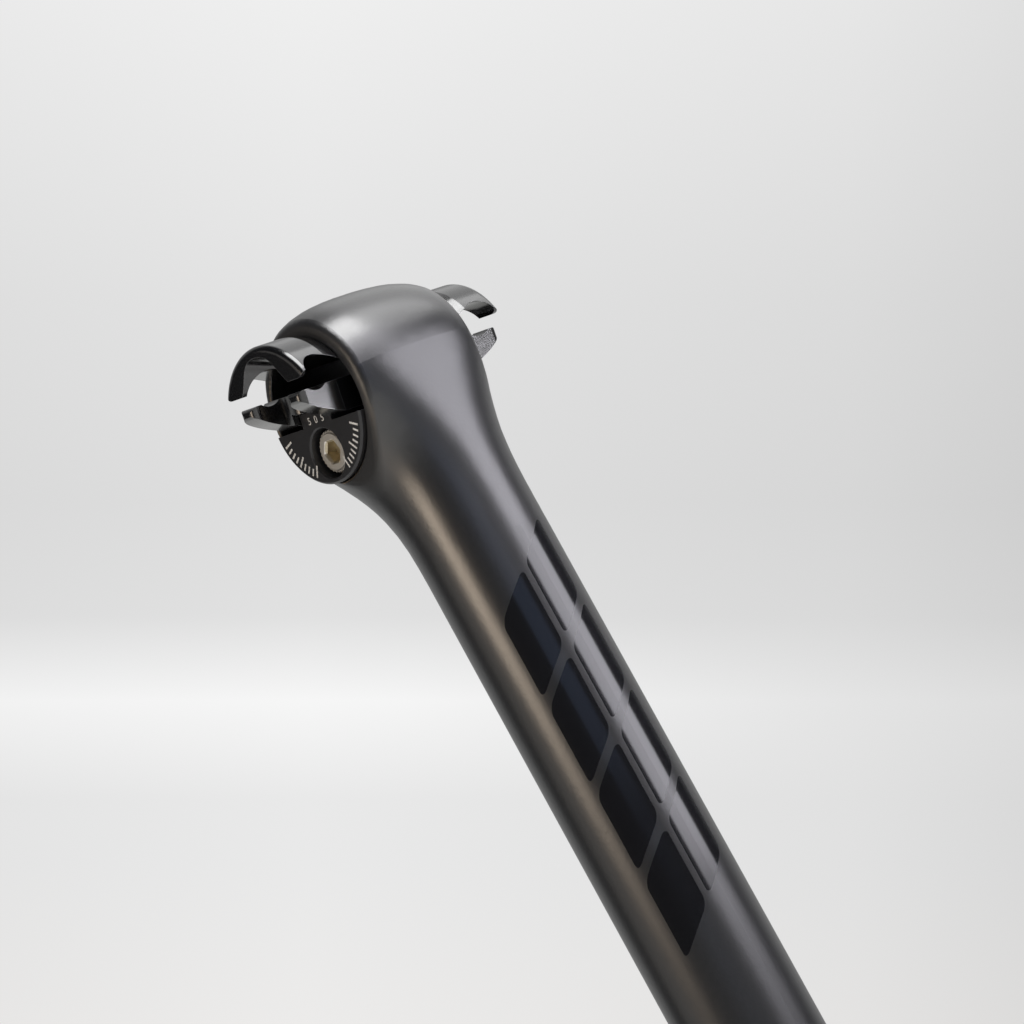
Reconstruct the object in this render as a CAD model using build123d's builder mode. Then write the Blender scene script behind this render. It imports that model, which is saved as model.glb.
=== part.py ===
from build123d import *
import os
from math import cos, pi, radians, sin, tan

# Carbon seatpost: a round tube with a one-piece barrel head, and in the head's cross bore a
# two-cradle saddle clamp that one side bolt tightens through a pair of half-moon wedges.
# X points forward on the bicycle, Y to its left and Z up along the tube. The origin is the centre
# of the tube's lower end. Lengths are in millimetres and angles in degrees.

# Tube
TUBE_D = 27.2
TUBE_WALL = 3.0
POST_LENGTH = 350.0         # lower end to the crown of the head
TUBE_END_BEVEL = 0.4

# Head
BORE_D = 30.0
SETBACK = 6.8               # bore axis behind the tube axis
HEAD_WIDTH = 30.8           # between the two trimmed end faces
HEAD_R = 19.3               # crown radius
CROWN_FORWARD = 0.8         # crown axis ahead of the bore axis
CROWN_RISE = 1.3            # crown axis above the bore axis
HEAD_SWELL = 20.5           # half width of the untrimmed head outline at the crown axis
HEAD_PULL = 0.83            # squareness of that outline: 0.55 is an ellipse and 1 nearly a box
FACE_ROUND = 2.5            # edge between an end face and the head's outer skin
RIM_BEVEL = 0.5             # edge of the bore
CAVITY_ROOF = 5.0           # thickness left between the tube's hollow and the bore

# Neck outline, from the round tube up to the crown axis
NECK_LENGTH = 41.5          # from the bore axis down to where the round tube starts
NECK_SECTIONS = 9
REAR_DELAY = 1.4            # how late the back, the width and the corners leave the round tube
WIDTH_DELAY = 1.8
CORNER_DELAY = 1.8
ROUND_PULL = 4 / 3 * tan(pi / 8)    # control point reach that draws a circle

# Saddle rails and the clamp's tilt
RAIL_D = 7.0
RAIL_SPACING = 43.0
RAIL_RISE = 7.7             # rail axis above the bore axis
RAIL_PLAY = 0.05            # groove radius over rail radius
SEAT_ANGLE = 73.5           # rails are level when the tube leans back at this angle
TURN_PLAY = 0.15            # round insert to bore, on the radius

# Upper cradle
UPPER_WIDTH = 51.8
FLANGE_R = 16.3             # radius of the thicker ends, outside the head
FLANGE_FOOT_R = 15.6        # their radius next to the head
FLANGE_SLOPE = 3.0          # length of the slope between the two
FLANGE_GAP = 0.3            # from a flange to the head's end face
FLANGE_EDGE = 1.3           # round of a flange's outer edge
HOOK_HALF = 13.9            # half length along the rails
HOOK_LIP = 7.5              # height of the hooks' lower edge
HOOK_TIP_ROUND = 2.0        # outer corner of a hook's tip
BELLY = 8.5                 # height of the underside between the rails
FLANK_ANGLE = 22.0          # slope from a groove's ceiling down to the belly
ARCH_TOP = 14.2             # bell-shaped arch through each end, between its two hooks
ARCH_FOOT_HALF = 8.2
ARCH_PULL_HALF = 5.0        # half width and lower height of the control points that bow the bell
ARCH_PULL = 11.0
ARCH_DEPTH = 8.0
ARCH_TAPER = 0.5            # arch size at its inner end over its size at the end face

# Lower cradle
LOWER_WIDTH = 52.4
LOWER_TOP = 5.0
LOWER_SKIRT = -1.5          # height of the flat underside
BODY_HALF = 10.3            # half length along the rails, inside the bore
PRONG_HALF = 11.0           # half length along the rails, over the prongs
PRONG_ROOT = 16.6           # where the prongs leave the body, from the middle of the bore
PRONG_GAP = 11.6            # between the two prongs of one side
PRONG_GAP_ROUND = 3.0
PRONG_TIP_R = 1.3
PRONG_TIP_SLOPE = 38.0      # underside of a prong at its tip and at its root
PRONG_ROOT_SLOPE = 18.0
PRONG_TIP_ROUND = 1.8       # corners of a prong's tip, seen from above

# Wedges
WEDGE_PROUD = 1.0           # outer face beyond the head's end face
WEDGE_GAP = 6.8             # between the two wedges
WEDGE_CHORD = -2.4          # height of the half-moon's straight edge
WEDGE_EDGE = 0.4
TONGUE_WIDTH = 10.0
TONGUE_TOP = 0.5            # height at the outer face
RAMP_ANGLE = 22.0
RAMP_PLAY = 0.08
GUIDE_PLAY = 0.25
KEEL_FLOOR = -4.3           # height of the lower cradle's flat keel

# Bolt
BOLT_DROP = 8.5             # bolt axis below the bore axis
BOLT_D = 5.0
BOLT_LENGTH = 25.0
BOLT_TIP_BEVEL = 0.6
BOLT_HEAD_D = 8.5
BOLT_HEAD_H = 5.0
BOLT_HEAD_BEVEL = 0.5
BOLT_SINK = 1.3             # head below the wedge's outer face
BOLT_SEAT_PLAY = 0.06
HEX_ACROSS = 4.0
HEX_DEPTH = 2.8
HEX_BEVEL = 0.5
THREAD_PLAY = 0.1           # on the diameter, either side of the nominal size
CLEARANCE_D = 5.5
COUNTERBORE_D = 10.4
COUNTERBORE_BEVEL = 0.3

# Derived places
tube_r = TUBE_D / 2
cavity_r = tube_r - TUBE_WALL
bore_r = BORE_D / 2
head_half = HEAD_WIDTH / 2
crown_x = CROWN_FORWARD - SETBACK
crown_z = POST_LENGTH - HEAD_R
bore_z = crown_z - CROWN_RISE
neck_z = bore_z - NECK_LENGTH
insert_r = bore_r - TURN_PLAY
groove_r = RAIL_D / 2 + RAIL_PLAY
rail_y = RAIL_SPACING / 2
upper_half = UPPER_WIDTH / 2
flange_y = head_half + FLANGE_GAP
lower_half = LOWER_WIDTH / 2
wedge_face = head_half + WEDGE_PROUD
tongue_half = TONGUE_WIDTH / 2
bolt_face = wedge_face - BOLT_SINK
bolt_seat = bolt_face - BOLT_HEAD_H - BOLT_SEAT_PLAY
ramp_rise = tan(radians(RAMP_ANGLE))
ramp_gap = RAMP_PLAY / cos(radians(RAMP_ANGLE))
reach = BORE_D              # long enough for every cut

# The clamp's own planes: r along the rails, y across the bicycle, u up between the rails
nose_down = radians(90 - SEAT_ANGLE)
bore_centre = (-SETBACK, 0, bore_z)
along_rails = (cos(nose_down), 0, -sin(nose_down))
side = Plane(origin=bore_centre, x_dir=along_rails, z_dir=(0, -1, 0))     # sketches in r, u
front = Plane(origin=bore_centre, x_dir=(0, 1, 0), z_dir=along_rails)     # sketches in y, u
above = Plane(origin=bore_centre, x_dir=along_rails, z_dir=side.y_dir)    # sketches in r, y


def ease(share, delay):
    """Smooth step from 0 to 1, held back by the delay."""
    late = share**delay
    return late * late * (3 - 2 * late)


def corner(tip, middle, half_width, pull):
    """Control points of a quarter outline, from its tip in the middle plane to its widest point."""
    return [
        (tip, 0),
        (tip, pull * half_width),
        (middle + pull * (tip - middle), half_width),
        (middle, half_width),
    ]


def bell(scale):
    """Control points of half an arch, from its top to a foot, scaled about the middle of its foot line."""
    points = [(0, ARCH_TOP), (ARCH_PULL_HALF, ARCH_TOP), (ARCH_PULL_HALF, ARCH_PULL), (ARCH_FOOT_HALF, HOOK_LIP)]
    return [(scale * r, HOOK_LIP + scale * (u - HOOK_LIP)) for r, u in points]


def ramp_height(y):
    """Height of the wedges' ramp, which falls towards the middle of the bore."""
    return TONGUE_TOP - (wedge_face - y) * ramp_rise


def ramp_reach(height):
    """Distance from the middle of the bore at which the wedges' ramp has this height."""
    return wedge_face - (TONGUE_TOP - height) / ramp_rise


# Tube, neck and head, moulded as one hollow piece
with BuildPart() as post_body:
    Cylinder(tube_r, neck_z, align=(Align.CENTER, Align.CENTER, Align.MIN))
    with BuildSketch(Plane.XY.offset(neck_z)):
        with BuildLine():
            CenterArc((0, 0), tube_r, 0, 90)
            CenterArc((0, 0), tube_r, 90, 90)
            mirror(about=Plane.XZ)
        make_face()
    for k in range(NECK_SECTIONS):
        share = (k + 1) / NECK_SECTIONS
        ahead = tube_r + (crown_x + HEAD_R - tube_r) * ease(share, 1)
        back = -tube_r + (crown_x - HEAD_R + tube_r) * ease(share, REAR_DELAY)
        middle = (ahead + back) / 2
        half_width = tube_r + (HEAD_SWELL - tube_r) * ease(share, WIDTH_DELAY)
        pull = ROUND_PULL + (HEAD_PULL - ROUND_PULL) * ease(share, CORNER_DELAY)
        with BuildSketch(Plane.XY.offset(neck_z + share * (crown_z - neck_z))):
            with BuildLine():
                Bezier(*corner(ahead, middle, half_width, pull))
                Bezier(*corner(back, middle, half_width, pull))
                mirror(about=Plane.XZ)
            make_face()
    loft()
    with BuildSketch(Plane.XY.offset(crown_z)):
        with BuildLine():
            Bezier(*corner(crown_x + HEAD_R, crown_x, HEAD_SWELL, HEAD_PULL))
            mirror(about=Plane.XZ)
            Line((crown_x, HEAD_SWELL), (crown_x, -HEAD_SWELL))
        make_face()
    revolve(axis=Axis((crown_x, 0, crown_z), (0, -1, 0)), revolution_arc=180)
    split(bisect_by=Plane.XZ.offset(head_half), keep=Keep.BOTTOM)
    split(bisect_by=Plane.XZ.offset(-head_half), keep=Keep.TOP)
    end_faces = post_body.faces().filter_by(Axis.Y)
    fillet(end_faces.edges(), FACE_ROUND)
    with BuildSketch(front):
        with BuildLine():
            wall = Line((0, bore_r), (head_half - RIM_BEVEL, bore_r))
            rim = Line(wall @ 1, (reach, bore_r + RIM_BEVEL + reach - head_half))
            Polyline(rim @ 1, (reach, 0), (0, 0), wall @ 0)
        make_face()
        mirror(about=Plane.YZ)
    revolve(axis=Axis(bore_centre, (0, 1, 0)), mode=Mode.SUBTRACT)
    with BuildSketch(Plane.XY):
        Circle(cavity_r)
    extrude(amount=bore_z - bore_r - CAVITY_ROOF, mode=Mode.SUBTRACT)
    foot = post_body.faces().sort_by(Axis.Z)[0]
    chamfer(foot.outer_wire().edges(), TUBE_END_BEVEL)
post_body.part.label = "post_body"

# Upper cradle: a segment of the round insert whose flanged ends make a pair of hooks over each rail
with BuildPart() as upper_cradle:
    with BuildSketch(front):
        with BuildLine():
            slope = Line((flange_y, FLANGE_FOOT_R), (flange_y + FLANGE_SLOPE, FLANGE_R))
            flange = Line(slope @ 1, (upper_half - FLANGE_EDGE, FLANGE_R))
            edge = JernArc(flange @ 1, flange % 1, FLANGE_EDGE, -90)
            Polyline(edge @ 1, (upper_half, 0), (0, 0), (0, insert_r), (flange_y, insert_r), slope @ 0)
        make_face()
        mirror(about=Plane.YZ)
    revolve(axis=Axis(bore_centre, (0, 1, 0)))
    with BuildSketch(side) as hooks:
        with Locations((0, HOOK_LIP)):
            Rectangle(2 * HOOK_HALF, bore_r, align=(Align.CENTER, Align.MIN))
        fillet(hooks.vertices().group_by(Axis.Y)[0], HOOK_TIP_ROUND)
    extrude(amount=reach, both=True, mode=Mode.INTERSECT)
    with BuildSketch(front):
        with BuildLine():
            groove = CenterArc((rail_y, RAIL_RISE), groove_r, 0, 90 + FLANK_ANGLE)
            flank_drop = (groove @ 1).Y - BELLY
            belly_end = Line(groove @ 1, ((groove @ 1).X - flank_drop / tan(radians(FLANK_ANGLE)), BELLY))
            belly = Line(belly_end @ 1, (0, BELLY))
            Polyline(belly @ 1, (0, 0), ((groove @ 0).X, 0), groove @ 0)
        make_face()
        mirror(about=Plane.YZ)
    extrude(amount=reach, both=True, mode=Mode.SUBTRACT)
    for outward in (1, -1):
        for depth, scale in ((0, 1), (ARCH_DEPTH, ARCH_TAPER)):
            with BuildSketch(side.offset(outward * (upper_half - depth))):
                with BuildLine():
                    arch = Bezier(*bell(scale))
                    Line(arch @ 1, (0, HOOK_LIP))
                    mirror(about=Plane.YZ)
                make_face()
        loft(mode=Mode.SUBTRACT)
upper_cradle.part.label = "upper_cradle"

# Lower cradle: prongs under the rails, and a keel whose ramps ride on the wedges
with BuildPart() as lower_cradle:
    with BuildSketch(front):
        with BuildLine():
            top = Line((0, LOWER_TOP), (lower_half - PRONG_TIP_R, LOWER_TOP))
            tip = JernArc(top @ 1, top % 1, PRONG_TIP_R, PRONG_TIP_SLOPE - 180)
            root_heading = radians(180 + PRONG_ROOT_SLOPE)
            under = Spline(tip @ 1, (PRONG_ROOT, LOWER_SKIRT),
                           tangents=[tip % 1, (cos(root_heading), sin(root_heading))])
            Polyline(under @ 1, (0, LOWER_SKIRT), top @ 0)
        make_face()
        mirror(about=Plane.YZ)
        with Locations((-rail_y, RAIL_RISE), (rail_y, RAIL_RISE)):
            Circle(groove_r, mode=Mode.SUBTRACT)
    extrude(amount=PRONG_HALF, both=True)
    with BuildSketch(above) as plan:
        Rectangle(2 * PRONG_HALF, LOWER_WIDTH)
        with Locations((0, PRONG_ROOT + reach / 2), (0, -PRONG_ROOT - reach / 2)):
            RectangleRounded(PRONG_GAP, reach, PRONG_GAP_ROUND, mode=Mode.SUBTRACT)
        for outward in (1, -1):
            with Locations((outward * (BODY_HALF + reach / 2), 0)):
                Rectangle(reach, 2 * PRONG_ROOT, mode=Mode.SUBTRACT)
        by_width = plan.vertices().group_by(Axis.Y)
        fillet(by_width[0] + by_width[-1], PRONG_TIP_ROUND)
    extrude(amount=reach, both=True, mode=Mode.INTERSECT)
    with BuildSketch(front):
        with BuildLine():
            skirt_y = ramp_reach(LOWER_SKIRT - ramp_gap)
            keel_y = ramp_reach(KEEL_FLOOR - ramp_gap)
            Polyline((-skirt_y, LOWER_SKIRT), (-keel_y, KEEL_FLOOR), (keel_y, KEEL_FLOOR),
                     (skirt_y, LOWER_SKIRT), close=True)
        make_face()
    extrude(amount=tongue_half - GUIDE_PLAY, both=True)
    with BuildSketch(front):
        with BuildLine():
            Polyline((skirt_y, LOWER_SKIRT), (reach, ramp_height(reach) + ramp_gap),
                     (reach, LOWER_SKIRT), close=True)
        make_face()
        mirror(about=Plane.YZ)
    extrude(amount=tongue_half + GUIDE_PLAY, both=True, mode=Mode.SUBTRACT)
lower_cradle.part.label = "lower_cradle"

# Wedge on the bolt's side: a half-moon with a ramped tongue, a clearance hole and a counterbore
with BuildPart() as bolt_side_wedge:
    with BuildSketch(side.offset(WEDGE_GAP / 2)):
        Circle(insert_r)
        with Locations((0, WEDGE_CHORD)):
            Rectangle(BORE_D, bore_r, align=(Align.CENTER, Align.MAX), mode=Mode.INTERSECT)
        Rectangle(TONGUE_WIDTH, -2 * WEDGE_CHORD)
    extrude(amount=wedge_face - WEDGE_GAP / 2)
    with BuildSketch(front):
        with BuildLine():
            Polyline((-wedge_face, TONGUE_TOP), (0, ramp_height(0)), (0, bore_r), (-wedge_face, bore_r),
                     close=True)
        make_face()
    extrude(amount=tongue_half, both=True, mode=Mode.SUBTRACT)
    outer_face = bolt_side_wedge.faces().sort_by(Axis.Y)[0]
    chamfer(outer_face.edges().filter_by(GeomType.CIRCLE), WEDGE_EDGE)
    with Locations(side.offset(wedge_face) * Location((0, -BOLT_DROP))):
        CounterBoreHole(CLEARANCE_D / 2, COUNTERBORE_D / 2, wedge_face - bolt_seat)
    outer_face = bolt_side_wedge.faces().sort_by(Axis.Y)[0]
    chamfer(outer_face.inner_wires().edges(), COUNTERBORE_BEVEL)
bolt_side_wedge.part.label = "bolt_side_wedge"

# Wedge on the nut's side: the same half-moon the other way round, with the tapped hole
with BuildPart() as nut_side_wedge:
    with BuildSketch(side.offset(-WEDGE_GAP / 2)):
        Circle(insert_r)
        with Locations((0, WEDGE_CHORD)):
            Rectangle(BORE_D, bore_r, align=(Align.CENTER, Align.MAX), mode=Mode.INTERSECT)
        Rectangle(TONGUE_WIDTH, -2 * WEDGE_CHORD)
    extrude(amount=WEDGE_GAP / 2 - wedge_face)
    with BuildSketch(front):
        with BuildLine():
            Polyline((wedge_face, TONGUE_TOP), (0, ramp_height(0)), (0, bore_r), (wedge_face, bore_r),
                     close=True)
        make_face()
    extrude(amount=tongue_half, both=True, mode=Mode.SUBTRACT)
    outer_face = nut_side_wedge.faces().sort_by(Axis.Y)[-1]
    chamfer(outer_face.edges().filter_by(GeomType.CIRCLE), WEDGE_EDGE)
    with BuildSketch(side):
        with Locations((0, -BOLT_DROP)):
            Circle((BOLT_D + THREAD_PLAY) / 2)
    extrude(amount=reach, both=True, mode=Mode.SUBTRACT)
nut_side_wedge.part.label = "nut_side_wedge"

# Clamp bolt: a socket cap screw
with BuildPart() as clamp_bolt:
    with BuildSketch(side.offset(bolt_face)):
        with Locations((0, -BOLT_DROP)):
            Circle(BOLT_HEAD_D / 2)
    extrude(amount=-BOLT_HEAD_H)
    chamfer(clamp_bolt.edges().sort_by(Axis.Y)[0], BOLT_HEAD_BEVEL)
    with BuildSketch(side.offset(bolt_face - BOLT_HEAD_H)):
        with Locations((0, -BOLT_DROP)):
            Circle((BOLT_D - THREAD_PLAY) / 2)
    extrude(amount=-BOLT_LENGTH)
    chamfer(clamp_bolt.edges().sort_by(Axis.Y)[-1], BOLT_TIP_BEVEL)
    with BuildSketch(side.offset(bolt_face)):
        with Locations((0, -BOLT_DROP)):
            RegularPolygon(HEX_ACROSS / 2, 6, major_radius=False)
    extrude(amount=-HEX_DEPTH, mode=Mode.SUBTRACT)
    head_face = clamp_bolt.faces().sort_by(Axis.Y)[0]
    chamfer(head_face.inner_wires().edges(), HEX_BEVEL)
clamp_bolt.part.label = "clamp_bolt"

os.makedirs("parts", exist_ok=True)
export_step(post_body.part, "parts/post_body.step")
export_step(upper_cradle.part, "parts/upper_cradle.step")
export_step(lower_cradle.part, "parts/lower_cradle.step")
export_step(bolt_side_wedge.part, "parts/bolt_side_wedge.step")
export_step(nut_side_wedge.part, "parts/nut_side_wedge.step")
export_step(clamp_bolt.part, "parts/clamp_bolt.step")
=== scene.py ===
"""Looks of a carbon bicycle seatpost with a side-bolt saddle clamp.

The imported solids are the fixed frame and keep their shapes. This script dresses them, adds the fine
pieces that ride on them (knurl, thread and filled marks) and sets up the studio.
Lengths are metres in the frame of the solids: X forward, Y to the rider's left, Z up the tube.
"""

import logging
import math
from collections.abc import Sequence
from dataclasses import dataclass
from enum import Enum

import bmesh
import bpy
from mathutils import Matrix, Vector


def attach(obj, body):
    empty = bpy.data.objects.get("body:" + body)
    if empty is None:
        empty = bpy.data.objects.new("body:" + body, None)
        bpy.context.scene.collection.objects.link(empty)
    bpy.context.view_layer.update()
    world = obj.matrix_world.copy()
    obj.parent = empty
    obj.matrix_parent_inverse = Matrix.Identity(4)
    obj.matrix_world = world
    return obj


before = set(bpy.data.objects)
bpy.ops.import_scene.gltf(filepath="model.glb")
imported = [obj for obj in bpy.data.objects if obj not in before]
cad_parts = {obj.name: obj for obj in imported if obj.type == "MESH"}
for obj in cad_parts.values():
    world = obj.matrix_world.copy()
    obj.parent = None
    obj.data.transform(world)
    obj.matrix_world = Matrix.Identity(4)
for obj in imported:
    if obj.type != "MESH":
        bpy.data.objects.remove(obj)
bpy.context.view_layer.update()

LOG = logging.getLogger("seatpost")
MM = 0.001
SHARP_ANGLE = math.radians(35)      # between faces that are not shaded as one surface
NOISE_LOW, NOISE_HIGH = 0.3, 0.7    # most of a noise pattern lies between these

# Sockets of a Mix node, which has the same names for numbers and for colours
NUMBER_A, NUMBER_B = 2, 3
COLOUR_A, COLOUR_B, COLOUR_OUT = 6, 7, 2

# Types that many signatures name
Tree = bpy.types.NodeTree
Node = bpy.types.Node
Socket = bpy.types.NodeSocket
Stops = tuple[tuple[float, str], ...]       # places from 0 to 1 along a gradient, and the colour at each


class Body(Enum):
    """Bodies of the frame that carry pieces of this script."""

    BOLT_WEDGE = "bolt_wedge"
    BOLT = "bolt"


class Slot(Enum):
    """Material slots of the record."""

    SATIN = "anodised_satin_black"
    STEEL = "plated_steel"


def linear(colour: str) -> tuple[float, float, float, float]:
    """Turn an sRGB hex colour into linear RGBA.

    Args:
        colour: hex value such as "#1a1a1c".

    Returns:
        Linear red, green, blue and an alpha of 1.
    """
    channels = [int(colour[k:k + 2], 16) / 255 for k in (1, 3, 5)]
    red, green, blue = (c / 12.92 if c <= 0.04045 else ((c + 0.055) / 1.055) ** 2.4 for c in channels)
    return red, green, blue, 1.0


def per_mm(size: float) -> float:
    """Pattern scale that repeats about once in this many millimetres."""
    return 1 / (size * MM)


def toward(azimuth: float, elevation: float) -> Vector:
    """Unit vector this many degrees round from straight ahead and up from level."""
    around, up = math.radians(azimuth), math.radians(elevation)
    return Vector((math.cos(up) * math.cos(around), math.cos(up) * math.sin(around), math.sin(up)))


def add_node(tree: Tree, kind: str, inputs: dict | None = None, **settings) -> Node:
    """Add a node with its settings and links.

    Args:
        tree: node tree that gets the node.
        kind: type name of the node.
        inputs: value or output socket for each input, by name or number.
        settings: attributes of the node, such as its operation.

    Returns:
        The new node.
    """
    node = tree.nodes.new(kind)
    for name, value in settings.items():
        setattr(node, name, value)
    for key, value in (inputs or {}).items():
        if isinstance(value, Socket):
            tree.links.new(value, node.inputs[key])
        else:
            node.inputs[key].default_value = value
    return node


@dataclass(frozen=True)
class Clamp:
    """Place of the saddle clamp: its bore axis, its tilt and its bolt axis."""

    bore_x: float = -6.8 * MM
    bore_z: float = 329.4 * MM
    bore_r: float = 15.0 * MM
    nose_down: float = math.radians(16.5)
    bolt_drop: float = 8.5 * MM

    def at(self, r: float, y: float, u: float) -> Vector:
        """Point in the frame, from its place along the rails, across them and up between them."""
        cos_t, sin_t = math.cos(self.nose_down), math.sin(self.nose_down)
        return Vector((self.bore_x + r * cos_t + u * sin_t, y, self.bore_z - r * sin_t + u * cos_t))

    def facing_right(self, r: float, y: float, u: float) -> Matrix:
        """Make a placement whose Z points out of the bolt's side.

        Args:
            r: place along the rails.
            y: place across the rails.
            u: place up between the rails.

        Returns:
            The placement, with X along the rails and Y up between them.
        """
        x_axis = self.at(1, 0, 0) - self.at(0, 0, 0)
        y_axis = self.at(0, 0, 1) - self.at(0, 0, 0)
        turn = Matrix((x_axis, y_axis, x_axis.cross(y_axis))).transposed()
        return Matrix.Translation(self.at(r, y, u)) @ turn.to_4x4()


CLAMP = Clamp()


@dataclass(frozen=True)
class Finish:
    """A surface: its colour and gloss, and the detail that its making leaves."""

    name: str
    colour: str
    roughness: float
    metallic: float = 0.0
    ior: float = 1.5
    coat: float = 0.0
    coat_roughness: float = 0.03
    coat_ior: float = 1.5

    def material(self) -> bpy.types.Material:
        """Make the material.

        Returns:
            A node material named for the finish.
        """
        made = bpy.data.materials.new(self.name)
        made.use_nodes = True
        shader = made.node_tree.nodes["Principled BSDF"]
        plain = {"Base Color": linear(self.colour), "Roughness": self.roughness, "Metallic": self.metallic,
                 "IOR": self.ior, "Coat Weight": self.coat, "Coat Roughness": self.coat_roughness,
                 "Coat IOR": self.coat_ior}
        for name, value in plain.items():
            shader.inputs[name].default_value = value
        coords = add_node(made.node_tree, "ShaderNodeTexCoord").outputs["Object"]
        self.detail(made.node_tree, shader, coords)
        return made

    def detail(self, tree: Tree, shader: Node, coords: Socket) -> None:
        """Link the pattern that the finish shows from close by.

        Args:
            tree: node tree of the material.
            shader: its Principled BSDF.
            coords: Object coordinates, in metres.
        """
        raise NotImplementedError

    def uneven(self, tree: Tree, pattern: Socket, spread: float) -> Socket:
        """Vary the roughness with a noise pattern.

        Args:
            tree: node tree of the material.
            pattern: noise from 0 to 1.
            spread: how far the roughness departs from its plain value.

        Returns:
            The roughness at each place.
        """
        rough = add_node(tree, "ShaderNodeMapRange", {
            "Value": pattern, "From Min": NOISE_LOW, "From Max": NOISE_HIGH,
            "To Min": self.roughness - spread, "To Max": self.roughness + spread})
        return rough.outputs[0]

    def from_axis(self, tree: Tree, coords: Socket, through: Vector) -> Socket:
        """Measure how far the surface is from a line along Y.

        Args:
            tree: node tree of the material.
            coords: Object coordinates, in metres.
            through: point on the line.

        Returns:
            The distance in metres.
        """
        flat = add_node(tree, "ShaderNodeVectorMath", {0: coords, 1: (1, 0, 1)}, operation="MULTIPLY")
        away = add_node(tree, "ShaderNodeVectorMath", {
            0: flat.outputs[0], 1: (through.x, 0, through.z)}, operation="DISTANCE")
        return away.outputs["Value"]


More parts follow.
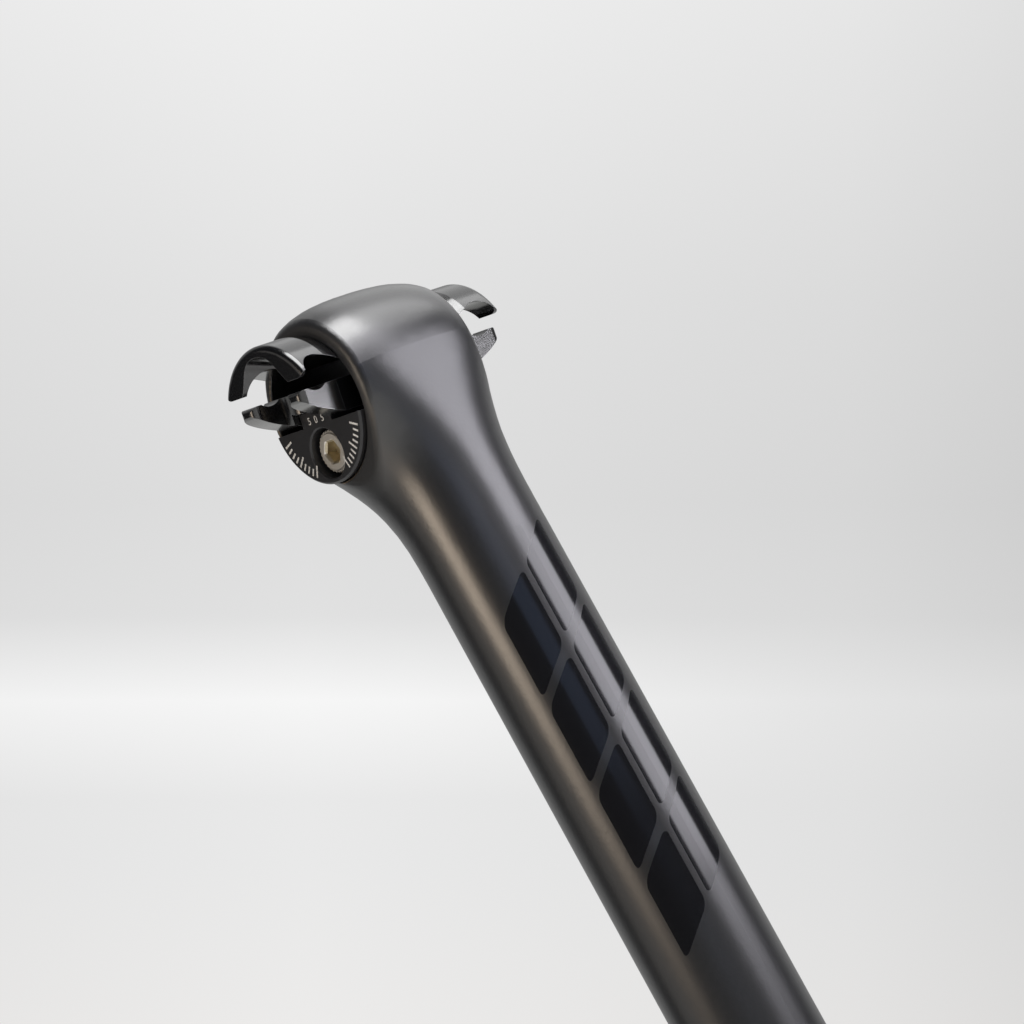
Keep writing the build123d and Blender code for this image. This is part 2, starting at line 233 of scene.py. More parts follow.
@dataclass(frozen=True)
class SatinPaint(Finish):
    """Satin black paint and clear coat over moulded carbon: broad soft highlights, a faint spray grain.

    Plain slanted blocks of clear gloss lacquer are printed on the front of the tube. The trimmed end faces
    are rubbed dull, and the bore's rim is cut to bare grey-brown carbon.
    """

    spray_grain: float = 0.8        # millimetres
    spray_spread: float = 0.03      # of the roughness
    spray_relief: float = 0.35      # of the full relief
    full_relief: float = 0.05 * MM
    tube_r: float = 13.6 * MM
    print_middle: float = math.radians(-16)     # angle round the tube, from straight ahead
    print_low: float = 203.0 * MM   # height of the print's lower end at its middle
    print_columns: int = 2
    print_rows: int = 4
    block_pitch: tuple[float, float] = (10.2 * MM, 19.6 * MM)   # round the tube and up it
    block_gap: float = 1.2 * MM
    block_corner: float = 1.6 * MM
    block_slope: float = 0.9        # rise of the slanted gaps for each length round the tube
    block_edge: float = 0.08 * MM   # width of the lacquer's soft edge
    lacquer_roughness: float = 0.15
    lacquer_coat: float = 0.45      # weight of the gloss coat, which the satin paint has in full
    lacquer_relief: float = 0.02    # of the full relief
    rubbed_colour: str = "#1e1e1f"
    rubbed_roughness: float = 0.5
    rubbed_from: float = 14.7 * MM  # distance from the middle plane where the rubbing starts
    rubbed_full: float = 15.3 * MM
    bare_dark: str = "#4a4238"
    bare_pale: str = "#857763"
    bare_edge: float = 0.35 * MM    # width of the bare rim
    bare_from: float = 15.0 * MM    # distance from the middle plane where the bare rim starts
    bare_fade: float = 0.1 * MM
    fibre: float = 0.7              # millimetres between torn fibre ends
    fibre_detail: float = 6.0       # octaves of the pattern
    fibre_dark: float = 0.35        # value of the pattern at the darkest fibre and at the palest
    fibre_pale: float = 0.65
    fibre_relief: float = 0.3       # of the full relief

    def detail(self, tree: Tree, shader: Node, coords: Socket) -> None:
        """Spray grain and printed lacquer, dull end faces, and bare fibre on the bore's rim.

        Args:
            tree: node tree of the material.
            shader: its Principled BSDF.
            coords: Object coordinates, in metres.
        """
        lacquer = self.printed_blocks(tree, coords)
        rubbed, bare = self.end_faces(tree, coords)
        dull = add_node(tree, "ShaderNodeMath", {0: rubbed, 1: bare}, operation="MAXIMUM").outputs[0]
        spray = add_node(tree, "ShaderNodeTexNoise", {
            "Vector": coords, "Scale": per_mm(self.spray_grain)}).outputs["Fac"]
        fibre = add_node(tree, "ShaderNodeTexNoise", {
            "Vector": coords, "Scale": per_mm(self.fibre), "Detail": self.fibre_detail}).outputs["Fac"]
        tree.links.new(self.colours(tree, rubbed, bare, fibre), shader.inputs["Base Color"])
        # What the satin paint, the lacquer and the dull end faces have
        sprayed = self.uneven(tree, spray, self.spray_spread)
        shares = {"Roughness": (sprayed, self.lacquer_roughness, self.rubbed_roughness),
                  "Coat Weight": (self.coat, self.lacquer_coat, 0.0),
                  "Coat Roughness": (self.coat_roughness, self.lacquer_roughness, self.coat_roughness)}
        for name, values in shares.items():
            tree.links.new(self.by_part(tree, lacquer, dull, values), shader.inputs[name])
        reliefs = (self.spray_relief, self.lacquer_relief, self.fibre_relief)
        bump = add_node(tree, "ShaderNodeBump", {
            "Height": self.by_part(tree, lacquer, dull, (spray, spray, fibre)),
            "Strength": self.by_part(tree, lacquer, dull, reliefs), "Distance": self.full_relief})
        for name in ("Normal", "Coat Normal"):
            tree.links.new(bump.outputs[0], shader.inputs[name])

    def by_part(self, tree: Tree, lacquer: Socket, dull: Socket,
                values: tuple[float | Socket, float | Socket, float | Socket]) -> Socket:
        """Give the satin paint, the printed lacquer and the dull end faces a value each.

        Args:
            tree: node tree of the material.
            lacquer: 1 on the lacquer.
            dull: 1 on the end faces.
            values: value or pattern of the paint, of the lacquer and of the end faces.

        Returns:
            The value at each place.
        """
        paint, printed, trimmed = values
        film = add_node(tree, "ShaderNodeMix", {0: lacquer, NUMBER_A: paint, NUMBER_B: printed})
        whole = add_node(tree, "ShaderNodeMix", {0: dull, NUMBER_A: film.outputs[0], NUMBER_B: trimmed})
        return whole.outputs[0]

    def end_faces(self, tree: Tree, coords: Socket) -> tuple[Socket, Socket]:
        """Find the trimmed end faces of the head and the bare rim of its bore.

        Args:
            tree: node tree of the material.
            coords: Object coordinates, in metres.

        Returns:
            1 where the paint is rubbed, and 1 on the bare rim.
        """
        across = add_node(tree, "ShaderNodeSeparateXYZ", {0: coords}).outputs["Y"]
        beside = add_node(tree, "ShaderNodeMath", {0: across}, operation="ABSOLUTE").outputs[0]
        rubbed = add_node(tree, "ShaderNodeMapRange", {
            "Value": beside, "From Min": self.rubbed_from, "From Max": self.rubbed_full})
        edge = CLAMP.bore_r + self.bare_edge
        near = add_node(tree, "ShaderNodeMapRange", {
            "Value": self.from_axis(tree, coords, CLAMP.at(0, 0, 0)),
            "From Min": edge + self.bare_fade, "From Max": edge - self.bare_fade})
        outer = add_node(tree, "ShaderNodeMapRange", {
            "Value": beside, "From Min": self.bare_from, "From Max": self.bare_from + self.bare_fade})
        bare = add_node(tree, "ShaderNodeMath", {
            0: near.outputs[0], 1: outer.outputs[0]}, operation="MULTIPLY")
        return rubbed.outputs[0], bare.outputs[0]

    def colours(self, tree: Tree, rubbed: Socket, bare: Socket, fibre: Socket) -> Socket:
        """Colour the paint, its rubbed end faces and the bare carbon.

        Args:
            tree: node tree of the material.
            rubbed: 1 where the paint is rubbed.
            bare: 1 on the bare rim.
            fibre: pattern of the torn fibre, from 0 to 1.

        Returns:
            The colour at each place.
        """
        skin = add_node(tree, "ShaderNodeMix", {
            0: rubbed, COLOUR_A: linear(self.colour), COLOUR_B: linear(self.rubbed_colour)}, data_type="RGBA")
        torn = add_node(tree, "ShaderNodeMapRange", {
            "Value": fibre, "From Min": self.fibre_dark, "From Max": self.fibre_pale})
        carbon = add_node(tree, "ShaderNodeMix", {
            0: torn.outputs[0], COLOUR_A: linear(self.bare_dark), COLOUR_B: linear(self.bare_pale)},
            data_type="RGBA")
        shown = add_node(tree, "ShaderNodeMix", {
            0: bare, COLOUR_A: skin.outputs[COLOUR_OUT], COLOUR_B: carbon.outputs[COLOUR_OUT]},
            data_type="RGBA")
        return shown.outputs[COLOUR_OUT]

    def printed_blocks(self, tree: Tree, coords: Socket) -> Socket:
        """Lay out the lacquer: columns of slanted blocks with round corners, wrapped round the tube.

        Args:
            tree: node tree of the material.
            coords: Object coordinates, in metres.

        Returns:
            1 on a block and 0 beside it.
        """
        wide, high = self.block_pitch
        half_print = self.print_columns * wide / 2
        core = (wide / 2 - self.block_gap / 2 - self.block_corner,
                high / 2 - self.block_gap - self.block_corner, 0)
        place = add_node(tree, "ShaderNodeSeparateXYZ", {0: coords})
        angle = add_node(tree, "ShaderNodeMath", {
            0: place.outputs["Y"], 1: place.outputs["X"]}, operation="ARCTAN2")
        around = add_node(tree, "ShaderNodeMath", {
            0: angle.outputs[0], 1: self.tube_r, 2: half_print - self.print_middle * self.tube_r},
            operation="MULTIPLY_ADD").outputs[0]
        lean = add_node(tree, "ShaderNodeMath", {
            0: around, 1: -self.block_slope, 2: self.block_slope * half_print - self.print_low},
            operation="MULTIPLY_ADD")
        rise = add_node(tree, "ShaderNodeMath", {
            0: place.outputs["Z"], 1: lean.outputs[0]}, operation="ADD").outputs[0]
        column = add_node(tree, "ShaderNodeMath", {0: around, 1: wide, 2: 0.0}, operation="WRAP")
        row = add_node(tree, "ShaderNodeMath", {0: rise, 1: high, 2: 0.0}, operation="WRAP")
        spot = add_node(tree, "ShaderNodeCombineXYZ", {0: column.outputs[0], 1: row.outputs[0]})
        centred = add_node(tree, "ShaderNodeVectorMath", {
            0: spot.outputs[0], 1: (wide / 2, high / 2, 0)}, operation="SUBTRACT")
        beside = add_node(tree, "ShaderNodeVectorMath", {0: centred.outputs[0]}, operation="ABSOLUTE")
        past = add_node(tree, "ShaderNodeVectorMath", {0: beside.outputs[0], 1: core}, operation="SUBTRACT")
        outside = add_node(tree, "ShaderNodeVectorMath", {
            0: past.outputs[0], 1: (0, 0, 0)}, operation="MAXIMUM")
        corner = add_node(tree, "ShaderNodeVectorMath", {0: outside.outputs[0]}, operation="LENGTH")
        block = add_node(tree, "ShaderNodeMapRange", {
            "Value": corner.outputs["Value"], "From Min": self.block_corner,
            "From Max": self.block_corner - self.block_edge})
        mask = block.outputs[0]
        for value, reach in ((around, self.print_columns * wide), (rise, self.print_rows * high)):
            inside = add_node(tree, "ShaderNodeMath", {
                0: value, 1: reach / 2, 2: reach / 2}, operation="COMPARE")
            mask = add_node(tree, "ShaderNodeMath", {
                0: mask, 1: inside.outputs[0]}, operation="MULTIPLY").outputs[0]
        return mask


@dataclass(frozen=True)
class Anodise(Finish):
    """Black anodised aluminium, whose edges hands and polishing round and wear pale; the pale edge colour is
    also a painted highlight.
    """

    edge_round: float = 0.12 * MM
    # Pale edge colour: worn metal, and a painted highlight along the edges
    pale_edge_and_highlight_colour: str = "#58585b"
    edge_from: float = 0.985        # cosine of the rounding's turn where an edge starts to be pale
    edge_full: float = 0.86
    edge_rays: int = 6

    def worn_and_highlit_edges(self, tree: Tree, shader: Node) -> Socket:
        """Round the edges a little, and pale them as wear and as a painted edge highlight.

        Args:
            tree: node tree of the material.
            shader: its Principled BSDF, whose colour is linked here.

        Returns:
            The normal with rounded edges.
        """
        rounded = add_node(tree, "ShaderNodeBevel", {"Radius": self.edge_round}, samples=self.edge_rays)
        flat = add_node(tree, "ShaderNodeNewGeometry").outputs["Normal"]
        turned = add_node(tree, "ShaderNodeVectorMath", {
            0: rounded.outputs[0], 1: flat}, operation="DOT_PRODUCT")
        edge = add_node(tree, "ShaderNodeMapRange", {
            "Value": turned.outputs["Value"], "From Min": self.edge_from, "From Max": self.edge_full},
            interpolation_type="SMOOTHSTEP")
        # Pale edges: wear, and a painted highlight along each edge
        wear_and_highlight = add_node(tree, "ShaderNodeMix", {
            0: edge.outputs[0], COLOUR_A: linear(self.colour), COLOUR_B: linear(self.pale_edge_and_highlight_colour)},
            data_type="RGBA")
        tree.links.new(wear_and_highlight.outputs[COLOUR_OUT], shader.inputs["Base Color"])
        return rounded.outputs[0]


@dataclass(frozen=True)
class GlossAnodise(Anodise):
    """Extruded, polished and anodised aluminium: near-mirror black with bright soft edges, whose pale colour
    is partly a painted highlight.
    """

    edge_round: float = 0.14 * MM
    # Pale edge colour: polishing wear, and a painted highlight along the edges
    pale_edge_and_highlight_colour: str = "#6a6a6c"
    die_line: float = 0.12          # millimetres between the extrusion's drawing lines
    die_run: float = 9.0            # millimetres along one line
    line_detail: float = 3.0        # octaves of the pattern
    line_spread: float = 0.04       # of the roughness

    def detail(self, tree: Tree, shader: Node, coords: Socket) -> None:
        """Faint drawing lines along the extrusion, and edges rounded and paled by polishing wear and a
        painted highlight.

        Args:
            tree: node tree of the material.
            shader: its Principled BSDF.
            coords: Object coordinates, in metres.
        """
        drawn = add_node(tree, "ShaderNodeMapping", {
            "Vector": coords, "Scale": (per_mm(self.die_line), per_mm(self.die_run), per_mm(self.die_line))})
        lines = add_node(tree, "ShaderNodeTexNoise", {
            "Vector": drawn.outputs[0], "Scale": 1.0, "Detail": self.line_detail}).outputs["Fac"]
        tree.links.new(self.uneven(tree, lines, self.line_spread), shader.inputs["Roughness"])
        tree.links.new(self.worn_and_highlit_edges(tree, shader), shader.inputs["Normal"])


@dataclass(frozen=True)
class SatinAnodise(Anodise):
    """Milled and anodised aluminium: dark grey satin with fine cutter marks."""

    cutter_mark: float = 0.3        # millimetres between marks, coarser than real so that they show
    mark_detail: float = 4.0        # octaves of the pattern
    mark_spread: float = 0.07       # of the roughness
    mark_relief: float = 0.08       # of the marks' depth
    mark_depth: float = 0.02 * MM

    def detail(self, tree: Tree, shader: Node, coords: Socket) -> None:
        """Cutter marks in the gloss, and edges paled by handling wear and a painted highlight.

        Args:
            tree: node tree of the material.
            shader: its Principled BSDF.
            coords: Object coordinates, in metres.
        """
        mill = add_node(tree, "ShaderNodeTexNoise", {
            "Vector": coords, "Scale": per_mm(self.cutter_mark), "Detail": self.mark_detail}).outputs["Fac"]
        tree.links.new(self.uneven(tree, mill, self.mark_spread), shader.inputs["Roughness"])
        bump = add_node(tree, "ShaderNodeBump", {
            "Height": mill, "Strength": self.mark_relief, "Distance": self.mark_depth,
            "Normal": self.worn_and_highlit_edges(tree, shader)})
        tree.links.new(bump.outputs[0], shader.inputs["Normal"])


@dataclass(frozen=True)
class NickelPlate(Finish):
    """Nickel plated steel: bright and slightly warm, with a yellower colour inside the socket."""

    pit: float = 0.25               # millimetres
    pit_detail: float = 4.0         # octaves of the pattern
    pit_spread: float = 0.08        # of the roughness
    pit_relief: float = 0.1         # of the pits' depth
    pit_depth: float = 0.02 * MM
    socket_colour: str = "#cfc4aa"
    socket_r: float = 2.45 * MM
    socket_mouth: float = -15.06 * MM
    socket_floor: float = -12.0 * MM
    socket_fade: float = 0.1 * MM

    def detail(self, tree: Tree, shader: Node, coords: Socket) -> None:
        """Fine pitting, and the warm colour inside the socket.

        Args:
            tree: node tree of the material.
            shader: its Principled BSDF.
            coords: Object coordinates, in metres.
        """
        pits = add_node(tree, "ShaderNodeTexNoise", {
            "Vector": coords, "Scale": per_mm(self.pit), "Detail": self.pit_detail}).outputs["Fac"]
        tree.links.new(self.uneven(tree, pits, self.pit_spread), shader.inputs["Roughness"])
        bump = add_node(tree, "ShaderNodeBump", {
            "Height": pits, "Strength": self.pit_relief, "Distance": self.pit_depth})
        tree.links.new(bump.outputs[0], shader.inputs["Normal"])
        inside = add_node(tree, "ShaderNodeMapRange", {
            "Value": self.from_axis(tree, coords, CLAMP.at(0, 0, -CLAMP.bolt_drop)),
            "From Min": self.socket_r + self.socket_fade, "From Max": self.socket_r})
        across = add_node(tree, "ShaderNodeSeparateXYZ", {0: coords}).outputs["Y"]
        deep = add_node(tree, "ShaderNodeMapRange", {
            "Value": across, "From Min": self.socket_mouth, "From Max": self.socket_mouth + self.socket_fade})
        above = add_node(tree, "ShaderNodeMapRange", {
            "Value": across, "From Min": self.socket_floor, "From Max": self.socket_floor - self.socket_fade})
        along = add_node(tree, "ShaderNodeMath", {
            0: deep.outputs[0], 1: above.outputs[0]}, operation="MULTIPLY")
        socket = add_node(tree, "ShaderNodeMath", {
            0: inside.outputs[0], 1: along.outputs[0]}, operation="MULTIPLY")
        shown = add_node(tree, "ShaderNodeMix", {
            0: socket.outputs[0], COLOUR_A: linear(self.colour), COLOUR_B: linear(self.socket_colour)},
            data_type="RGBA")
        tree.links.new(shown.outputs[COLOUR_OUT], shader.inputs["Base Color"])


@dataclass(frozen=True)
class MarkFill(Finish):
    """Pale enamel rubbed into engraved marks: matt and slightly uneven."""

    smear: float = 0.4              # millimetres
    smear_detail: float = 3.0       # octaves of the pattern
    thin_colour: str = "#b9b6ae"
    thin_at: float = 0.35           # value of the pattern at the thinnest enamel and at the fullest
    full_at: float = 0.6

    def detail(self, tree: Tree, shader: Node, coords: Socket) -> None:
        """Thinner and fuller patches of enamel.

        Args:
            tree: node tree of the material.
            shader: its Principled BSDF.
            coords: Object coordinates, in metres.
        """
        smears = add_node(tree, "ShaderNodeTexNoise", {
            "Vector": coords, "Scale": per_mm(self.smear), "Detail": self.smear_detail})
        full = add_node(tree, "ShaderNodeMapRange", {
            "Value": smears.outputs["Fac"], "From Min": self.thin_at, "From Max": self.full_at})
        shown = add_node(tree, "ShaderNodeMix", {
            0: full.outputs[0], COLOUR_A: linear(self.thin_colour), COLOUR_B: linear(self.colour)},
            data_type="RGBA")
        tree.links.new(shown.outputs[COLOUR_OUT], shader.inputs["Base Color"])


@dataclass(frozen=True)
class Backing(Finish):
    """Seamless backing paper: matt, pale and very slightly mottled."""

    mottle: float = 40.0            # millimetres
    mottle_spread: float = 0.05     # of the roughness
    fade_from: float = 0.25         # metres from the object where the paper starts to look evenly lit
    fade_full: float = 0.9

    def detail(self, tree: Tree, shader: Node, coords: Socket) -> None:
        """Slight unevenness of the paper's gloss, and an even pale look far from the object.

        Args:
            tree: node tree of the material.
            shader: its Principled BSDF.
            coords: Object coordinates, in metres.
        """
        mottle = add_node(tree, "ShaderNodeTexNoise", {
            "Vector": coords, "Scale": per_mm(self.mottle)}).outputs["Fac"]
        tree.links.new(self.uneven(tree, mottle, self.mottle_spread), shader.inputs["Roughness"])
        away = add_node(tree, "ShaderNodeVectorMath", {0: coords}, operation="LENGTH")
        far = add_node(tree, "ShaderNodeMapRange", {
            "Value": away.outputs["Value"], "From Min": self.fade_from, "From Max": self.fade_full},
            interpolation_type="SMOOTHSTEP")
        path = add_node(tree, "ShaderNodeLightPath")
        mirrored = add_node(tree, "ShaderNodeMath", {
            0: path.outputs["Is Glossy Ray"], 1: path.outputs["Is Transmission Ray"]}, operation="MAXIMUM")
        seen = add_node(tree, "ShaderNodeMath", {
            0: path.outputs["Is Camera Ray"], 1: mirrored.outputs[0]}, operation="MAXIMUM")
        share = add_node(tree, "ShaderNodeMath", {
            0: far.outputs[0], 1: seen.outputs[0]}, operation="MULTIPLY")
        even = add_node(tree, "ShaderNodeEmission", {"Color": linear(self.colour), "Strength": 1.0})
        paper = add_node(tree, "ShaderNodeMixShader", {
            0: share.outputs[0], 1: shader.outputs[0], 2: even.outputs[0]})
        tree.links.new(paper.outputs[0], tree.nodes["Material Output"].inputs["Surface"])


def dress(node: str, material: bpy.types.Material) -> None:
    """Give a solid of the frame its finish.

    Args:
        node: name of the solid.
        material: finish that its surface gets.
    """
    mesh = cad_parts[node].data
    mesh.materials.clear()
    mesh.materials.append(material)
    LOG.info("dressed %s with %s", node, material.name)


def add_piece(shape: bmesh.types.BMesh, name: str, body: Body, material: bpy.types.Material,
              smooth: bool = True) -> None:
    """Turn a bmesh into a finished piece that rides on a body.

    Args:
        shape: mesh in frame coordinates, freed here.
        name: name of the piece.
        body: body that carries it.
        material: finish of its surface.
        smooth: whether its faces are shaded smooth.
    """
    mesh = bpy.data.meshes.new(name)
    for face in shape.faces:
        face.smooth = smooth
    for edge in shape.edges:
        edge.smooth = edge.calc_face_angle(0.0) < SHARP_ANGLE
    shape.to_mesh(mesh)
    shape.free()
    mesh.materials.append(material)
    piece = bpy.data.objects.new(name, mesh)
    bpy.context.scene.collection.objects.link(piece)
    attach(piece, body.value)
    LOG.info("added %s on %s: %d faces", name, body.value, len(mesh.polygons))


@dataclass
class Post:
    """Moulded tube, neck and head."""

    paint: SatinPaint = SatinPaint(
        "satin_paint_on_carbon", "#151517", 0.34, ior=1.6, coat=1.0, coat_roughness=0.3, coat_ior=1.7)

    def build(self) -> None:
        """Paint the moulding."""
        dress("post_body", self.paint.material())


@dataclass
class Cradles:
    """Upper and lower cradle of the clamp."""

    anodise: GlossAnodise = GlossAnodise(
        "polished_black_anodise", "#0d0d0e", 0.2, ior=1.8, coat=0.6, coat_roughness=0.12)

    def build(self) -> None:
        """Give both cradles the same finish."""
        finish = self.anodise.material()
        dress("upper_cradle", finish)
        dress("lower_cradle", finish)


@dataclass
class Wedges:
    """Half-moon wedges, the bolt's one with filled marks on its outer face."""

    face: float = 16.4 * MM                     # from the middle plane out to the marked face
    proud: float = 0.02 * MM
    tick_outer: float = 13.8 * MM
    tick_short: float = 1.6 * MM
    tick_long: float = 2.6 * MM
    tick_width: float = 0.42 * MM
    tick_count: int = 9
    tick_first: float = math.radians(21)        # below the straight edge
    tick_step: float = math.radians(5.5)
    long_every: int = 4                         # ticks from one long tick to the next
    number: str = "5  0  5"
    number_height: float = 1.5 * MM
    number_drop: float = 1.35 * MM              # below the bore's axis
    digit_share: float = 0.7                    # height of a digit in the font's size
    anodise: SatinAnodise = SatinAnodise("milled_black_anodise", "#232325", 0.36, ior=1.6)
    fill: MarkFill = MarkFill("pale_mark_enamel", "#eceae4", 0.6)

    def build(self) -> None:
        """Dress both wedges, and make the marks: ticks along each side of the rim and dial numbers."""
        finish = self.anodise.material()
        dress("bolt_side_wedge", finish)
        dress("nut_side_wedge", finish)
        enamel = self.fill.material()
        add_piece(self.ticks(), "wedge_ticks", Body.BOLT_WEDGE, enamel, smooth=False)
        add_piece(self.numeral(), "wedge_number", Body.BOLT_WEDGE, enamel, smooth=False)

    def ticks(self) -> bmesh.types.BMesh:
        """Radial ticks, some of them longer.

        Returns:
            Thin bars set on the wedge's outer face.
        """
        shape = bmesh.new()
        face = CLAMP.facing_right(0, -self.face, 0)
        for k in range(self.tick_count):
            length = self.tick_short if k % self.long_every else self.tick_long
            size = Matrix.Diagonal((length, self.tick_width, 2 * self.proud, 1))
            out = Matrix.Translation((self.tick_outer - length / 2, 0, 0))
            turn = self.tick_first + k * self.tick_step
            for angle in (-turn, math.pi + turn):
                place = Matrix.Rotation(angle, 4, "Z") @ out
                bmesh.ops.create_cube(shape, size=1, matrix=face @ place @ size)
        return shape

    def numeral(self) -> bmesh.types.BMesh:
        """The dial numbers, made a mesh and set on the wedge's outer face.

        Returns:
            A thin solid of the digits.
        """
        text = bpy.data.curves.new("wedge_number_text", "FONT")
        text.body = self.number
        text.align_x = "CENTER"
        text.align_y = "CENTER"
        text.size = self.number_height / self.digit_share
        text.extrude = self.proud
        holder = bpy.data.objects.new("wedge_number_text", text)
        mesh = bpy.data.meshes.new_from_object(holder)
        shape = bmesh.new()
        shape.from_mesh(mesh)
        bpy.data.objects.remove(holder)
        bpy.data.meshes.remove(mesh)
        bpy.data.curves.remove(text)
        place = CLAMP.facing_right(0, -self.face, -self.number_drop)
        bmesh.ops.transform(shape, matrix=place, verts=shape.verts[:])
        return shape


@dataclass
class Bolt:
    """Socket cap screw, with the knurl of its head and the thread of its shank."""

    head_r: float = 4.25 * MM
    head_face: float = -15.1 * MM
    head_height: float = 5.0 * MM
    head_bevel: float = 0.5 * MM
    knurl_teeth: int = 30
    knurl_depth: float = 0.28 * MM
    knurl_wall: float = 0.84 * MM               # of the toothed sleeve, most of it inside the head
    knurl_below: float = 0.28 * MM              # from the head's face down to the teeth
    shank_r: float = 2.45 * MM
    shank_end: float = 14.9 * MM
    tip_bevel: float = 0.6 * MM
    thread_pitch: float = 0.8 * MM
    thread_depth: float = 0.08 * MM
    thread_length: float = 18.0 * MM
    thread_steps: int = 20                      # in one turn
    ridge_share: float = 0.4                    # half the width of the ridge's foot, in pitches
    nickel: NickelPlate = NickelPlate("nickel_plated_steel", "#e6e1d8", 0.46, metallic=1.0)

    def build(self) -> None:
        """Plate the screw, and make its knurl and its thread."""
        finish = self.nickel.material()
        dress("clamp_bolt", finish)
        add_piece(self.knurl(), "bolt_knurl", Body.BOLT, finish, smooth=False)
        add_piece(self.thread(), "bolt_thread", Body.BOLT, finish)

    def knurl(self) -> bmesh.types.BMesh:
        """Toothed sleeve round the head.

        Returns:
            A closed ring whose outer wall has straight teeth.
        """
        shape = bmesh.new()
        bmesh.ops.create_circle(shape, cap_ends=True, segments=2 * self.knurl_teeth, radius=self.head_r)
        for k, vert in enumerate(shape.verts):
            vert.co *= 1 + self.knurl_depth / self.head_r * (k % 2)
        bmesh.ops.inset_region(shape, faces=shape.faces[:], thickness=self.knurl_wall, use_boundary=True)
        hub = max(shape.faces, key=lambda face: len(face.verts))
        bmesh.ops.delete(shape, geom=[hub], context="FACES")
        wall = bmesh.ops.extrude_face_region(shape, geom=shape.faces[:])
        top = [part for part in wall["geom"] if isinstance(part, bmesh.types.BMVert)]
        height = self.head_height - self.head_bevel - self.knurl_below
        bmesh.ops.translate(shape, verts=top, vec=(0, 0, height))
        bmesh.ops.recalc_face_normals(shape, faces=shape.faces[:])
        inner = self.head_r - self.knurl_depth
        rim = [edge for edge in shape.edges
               if all(vert in top and vert.co.xy.length > inner for vert in edge.verts)]
        bmesh.ops.bevel(shape, geom=rim, offset=self.knurl_depth / 2, offset_type="OFFSET", affect="EDGES",
                        segments=1, profile=0.5, material=-1)
        foot = self.head_face + self.head_height - self.head_bevel
        place = CLAMP.facing_right(0, foot, -CLAMP.bolt_drop)
        bmesh.ops.transform(shape, matrix=place, verts=shape.verts[:])
        return shape

    def thread(self) -> bmesh.types.BMesh:
        """Helical ridge on the shank.

        Returns:
            A screw of constant pitch whose foot is sunk in the shank.
        """
        shape = bmesh.new()
        half = self.thread_pitch * self.ridge_share
        foot, crest = self.shank_r - self.thread_depth, self.shank_r + self.thread_depth
        corners = [shape.verts.new(corner) for corner in ((foot, 0, -half), (crest, 0, 0), (foot, 0, half))]
        profile = [shape.edges.new(pair) for pair in zip(corners, corners[1:])]
        turns = round(self.thread_length / self.thread_pitch)
        bmesh.ops.spin(shape, geom=corners + profile, cent=(0, 0, 0), axis=(0, 0, 1),
                       dvec=(0, 0, self.thread_pitch / self.thread_steps), angle=turns * 2 * math.pi,
                       steps=turns * self.thread_steps, use_merge=False)
        bmesh.ops.recalc_face_normals(shape, faces=shape.faces[:])
        start = self.shank_end - self.tip_bevel - half
        place = CLAMP.facing_right(0, start, -CLAMP.bolt_drop)
        bmesh.ops.transform(shape, matrix=place, verts=shape.verts[:])
        return shape


@dataclass(frozen=True)
class SoftBox:
    """A square-edged studio light that faces the clamp."""

    name: str
    azimuth: float          # degrees from straight ahead
    elevation: float        # degrees above the clamp
    distance: float
    width: float
    height: float
    watts: float
    colour: str
    spread: float = 180     # degrees across the fan of light, less with a grid

    def build(self, target: Vector) -> None:
        """Hang the light round a target.

        Args:
            target: point that the light faces.
        """
        lamp = bpy.data.lights.new(self.name, "AREA")
        lamp.shape = "RECTANGLE"
        lamp.size = self.width
        lamp.size_y = self.height
        lamp.energy = self.watts
        lamp.spread = math.radians(self.spread)
        lamp.color = linear(self.colour)[:3]
        holder = bpy.data.objects.new(self.name, lamp)
        away = toward(self.azimuth, self.elevation)
        holder.matrix_world = (Matrix.Translation(target + self.distance * away)
                               @ away.to_track_quat("Z", "Y").to_matrix().to_4x4())
        bpy.context.scene.collection.objects.link(holder)
        LOG.info("hung %s", self.name)


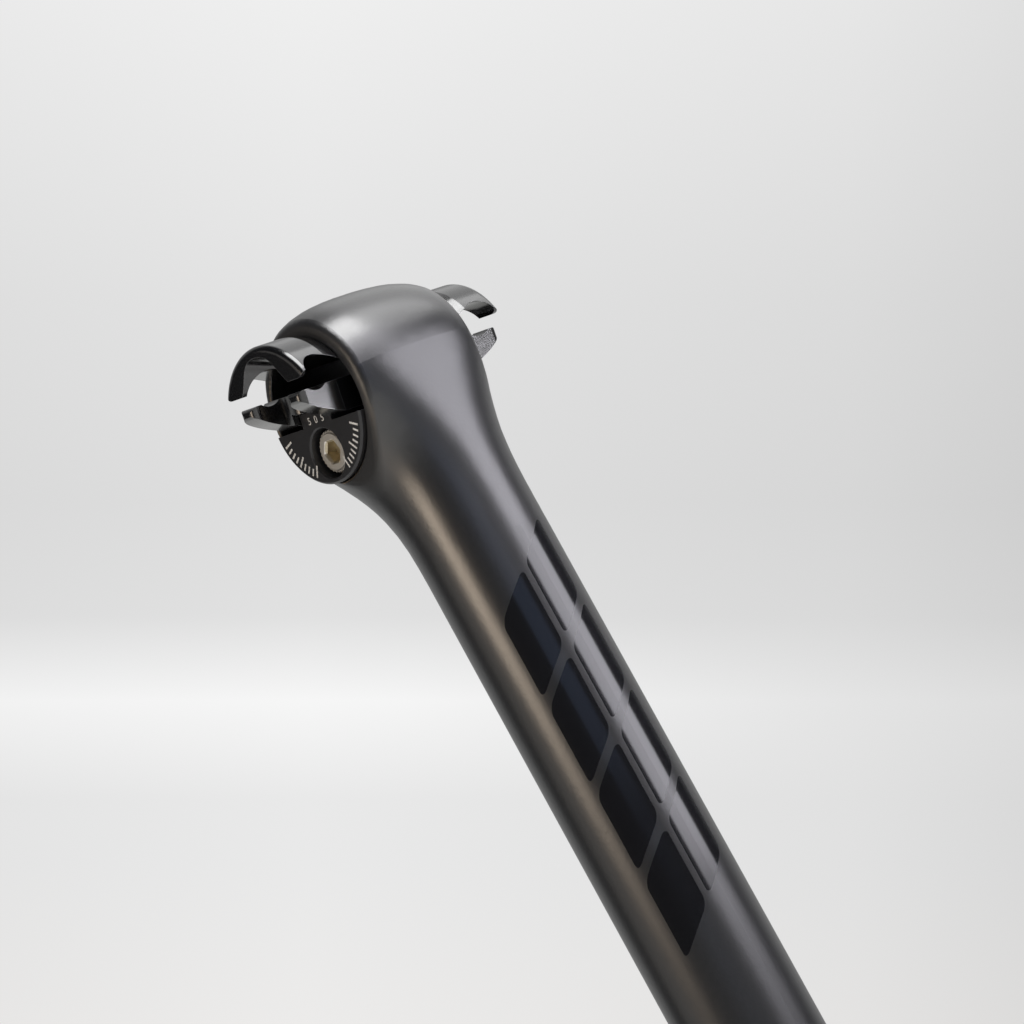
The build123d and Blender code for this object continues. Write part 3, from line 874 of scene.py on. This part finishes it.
@dataclass
class Studio:
    """Pale floor, pale sweep, soft lights and the camera."""

    floor_r: float = 2.5
    floor_sides: int = 96
    paper: Backing = Backing("pale_backing_paper", "#dcdcda", 0.9)
    target: tuple[float, float, float] = (0.0, 0.0, 0.30)
    lens: float = 210.94            # millimetres
    sensor: float = 36.0            # millimetres
    sight: float = 20.0             # farthest that the camera sees
    eye: tuple[float, float, float] = (0.92441, -0.72364, 0.04749)
    # Degrees round, up and tilted of the way from the object to the camera
    view_azimuth: float = -38.453
    view_elevation: float = -11.818
    view_roll: float = -28.904
    # Sweep behind the object from the bottom of the view to its top, with its bright horizon
    sweep: Stops = (
        (0.0, "#ecebea"), (0.16, "#e9e9e9"), (0.316, "#e9e9e9"), (0.395, "#e1e1e1"), (0.51, "#dedede"),
        (0.71, "#e3e3e3"), (1.0, "#efefef"))
    # Light left on the sweep from the left of the view to its right
    falloff: Stops = ((0.0, "#fafafa"), (0.3, "#ffffff"), (0.83, "#f6f6f6"), (1.0, "#eeeeee"))
    # Glow of the sweep's bend, from the bottom of the view to its top, and its share from left to right
    glow: Stops = (
        (0.0, "#000000"), (0.22, "#000000"), (0.316, "#5d5d5d"), (0.4, "#000000"), (1.0, "#000000"))
    glow_share: Stops = ((0.0, "#ffffff"), (0.4, "#ffffff"), (0.83, "#848484"), (1.0, "#848484"))
    # What the surfaces mirror round them, from the camera's side to straight behind the object
    surround: Stops = ((0.0, "#1c1e22"), (0.72, "#1c1e22"), (0.82, "#949494"), (1.0, "#9c9c9c"))
    # Lit part of the backdrop high behind the object's right, and what is seen towards its middle
    backdrop_azimuth: float = 102
    backdrop_elevation: float = 42
    lit_part: Stops = ((0.0, "#000000"), (0.91, "#000000"), (0.968, "#e4e4e4"), (1.0, "#e4e4e4"))
    fill_colour: str = "#c9cbd0"
    fill_strength: float = 0.4
    boxes: tuple[SoftBox, ...] = (
        SoftBox("overhead_box", 2, 64, 0.9, 0.72, 0.5, 7.2, "#ffffff"),
        SoftBox("front_box", 6, 38, 0.9, 0.9, 0.42, 2.9, "#faf8ff"),
        SoftBox("side_box", 60, 49, 0.9, 0.45, 0.4, 0.8, "#ffffff"),
        SoftBox("right_box", 37, 10, 0.55, 0.36, 0.225, 0.87, "#f8f6ff"),
        SoftBox("low_right_box", 39, -20, 0.55, 0.25, 0.12, 0.06, "#f8f6ff", spread=26),
        SoftBox("left_box", -93, 14, 0.55, 0.2, 0.2, 0.6, "#ffebd4"),
        SoftBox("left_wide_box", -120, 12, 0.9, 0.5, 0.8, 0.36, "#fffaf4"),
        SoftBox("window_box", -22, 13, 0.55, 0.26, 0.2, 0.07, "#93a9d2"),
    )

    def build(self) -> None:
        """Set up everything round the object."""
        self.lay_floor()
        self.light_world()
        for box in self.boxes:
            box.build(Vector(self.target))
        self.set_camera()
        bpy.context.scene.view_settings.view_transform = "Standard"

    def lay_floor(self) -> None:
        """Lay a round pale floor under the tube's lower end."""
        shape = bmesh.new()
        bmesh.ops.create_circle(shape, cap_ends=True, segments=self.floor_sides, radius=self.floor_r)
        mesh = bpy.data.meshes.new("studio_floor")
        shape.to_mesh(mesh)
        shape.free()
        mesh.materials.append(self.paper.material())
        floor = bpy.data.objects.new("studio_floor", mesh)
        bpy.context.scene.collection.objects.link(floor)

    def light_world(self) -> None:
        """Show the pale sweep to the camera and the room to reflections, and light the rest evenly."""
        world = bpy.data.worlds.new("studio")
        world.use_nodes = True
        bpy.context.scene.world = world
        tree = world.node_tree
        tree.nodes.clear()
        sweep = add_node(tree, "ShaderNodeBackground", {"Color": self.seen_sweep(tree), "Strength": 1.0})
        room = add_node(tree, "ShaderNodeBackground", {"Color": self.mirrored_room(tree), "Strength": 1.0})
        fill = add_node(tree, "ShaderNodeBackground", {
            "Color": linear(self.fill_colour), "Strength": self.fill_strength})
        path = add_node(tree, "ShaderNodeLightPath")
        lit = add_node(tree, "ShaderNodeMixShader", {
            0: path.outputs["Is Glossy Ray"], 1: fill.outputs[0], 2: room.outputs[0]})
        shown = add_node(tree, "ShaderNodeMath", {
            0: path.outputs["Is Camera Ray"], 1: path.outputs["Is Transmission Ray"]}, operation="MAXIMUM")
        mixed = add_node(tree, "ShaderNodeMixShader", {
            0: shown.outputs[0], 1: lit.outputs[0], 2: sweep.outputs[0]})
        add_node(tree, "ShaderNodeOutputWorld", {"Surface": mixed.outputs[0]})

    def seen_sweep(self, tree: Tree) -> Socket:
        """Colour the sweep: how it rises and falls off, and the glow of its bend.

        Args:
            tree: node tree of the world.

        Returns:
            The colour that the camera sees in each direction.
        """
        right, up, _ = self.view().transposed()
        half_view = self.sensor / 2 / self.lens
        layers = []
        for rising, aside in ((self.sweep, self.falloff), (self.glow, self.glow_share)):
            layer = add_node(tree, "ShaderNodeMix", {
                0: 1.0, COLOUR_A: self.gradient(tree, up, half_view, rising),
                COLOUR_B: self.gradient(tree, right, half_view, aside)},
                data_type="RGBA", blend_type="MULTIPLY")
            layers.append(layer.outputs[COLOUR_OUT])
        paper = add_node(tree, "ShaderNodeMix", {
            0: 1.0, COLOUR_A: layers[0], COLOUR_B: layers[1]}, data_type="RGBA", blend_type="ADD")
        return paper.outputs[COLOUR_OUT]

    def mirrored_room(self, tree: Tree) -> Socket:
        """Colour the room that surfaces mirror: dark round the camera, with a lit part of the backdrop.

        Args:
            tree: node tree of the world.

        Returns:
            The colour that surfaces mirror in each direction.
        """
        behind = -toward(self.view_azimuth, self.view_elevation)
        backdrop = toward(self.backdrop_azimuth, self.backdrop_elevation)
        seen = add_node(tree, "ShaderNodeMix", {
            0: 1.0, COLOUR_A: self.gradient(tree, behind, 1.0, self.surround),
            COLOUR_B: self.gradient(tree, backdrop, 1.0, self.lit_part)},
            data_type="RGBA", blend_type="LIGHTEN")
        return seen.outputs[COLOUR_OUT]

    def gradient(self, tree: Tree, axis: Sequence[float], reach: float, stops: Stops) -> Socket:
        """Colours of the world along an axis.

        Args:
            tree: node tree of the world.
            axis: direction along which the colours change.
            reach: sine of the angle from the middle to either end.
            stops: place from 0 to 1 and colour of each stop.

        Returns:
            The colour seen in each direction.
        """
        direction = add_node(tree, "ShaderNodeTexCoord").outputs["Generated"]
        along = add_node(tree, "ShaderNodeVectorMath", {0: direction, 1: axis}, operation="DOT_PRODUCT")
        share = add_node(tree, "ShaderNodeMapRange", {
            "Value": along.outputs["Value"], "From Min": -reach, "From Max": reach})
        ramp = add_node(tree, "ShaderNodeValToRGB", {0: share.outputs["Result"]})
        elements = ramp.color_ramp.elements
        for place, _ in stops[1:-1]:
            elements.new(place)
        for element, (place, colour) in zip(elements, stops):
            element.position = place
            element.color = linear(colour)
        return ramp.outputs["Color"]

    def view(self) -> Matrix:
        """Work out the turn of the camera.

        Returns:
            A matrix whose columns are the view's right, its up and the way to the camera.
        """
        back = toward(self.view_azimuth, self.view_elevation)
        level = back.to_track_quat("Z", "Y").to_matrix()
        return Matrix.Rotation(math.radians(self.view_roll), 3, back) @ level

    def set_camera(self) -> None:
        """Put the camera where the photograph was taken from."""
        lens = bpy.data.cameras.new("camera")
        lens.lens = self.lens
        lens.sensor_width = self.sensor
        lens.clip_end = self.sight
        camera = bpy.data.objects.new("camera", lens)
        camera.matrix_world = Matrix.Translation(self.eye) @ self.view().to_4x4()
        bpy.context.scene.collection.objects.link(camera)
        bpy.context.scene.camera = camera


def main() -> None:
    """Build and dress the sub-assemblies in order, then the studio."""
    logging.basicConfig(level=logging.INFO, format="%(name)s: %(message)s")
    for assembly in (Post(), Cradles(), Wedges(), Bolt(), Studio()):
        assembly.build()


if __name__ == "__main__":
    main()
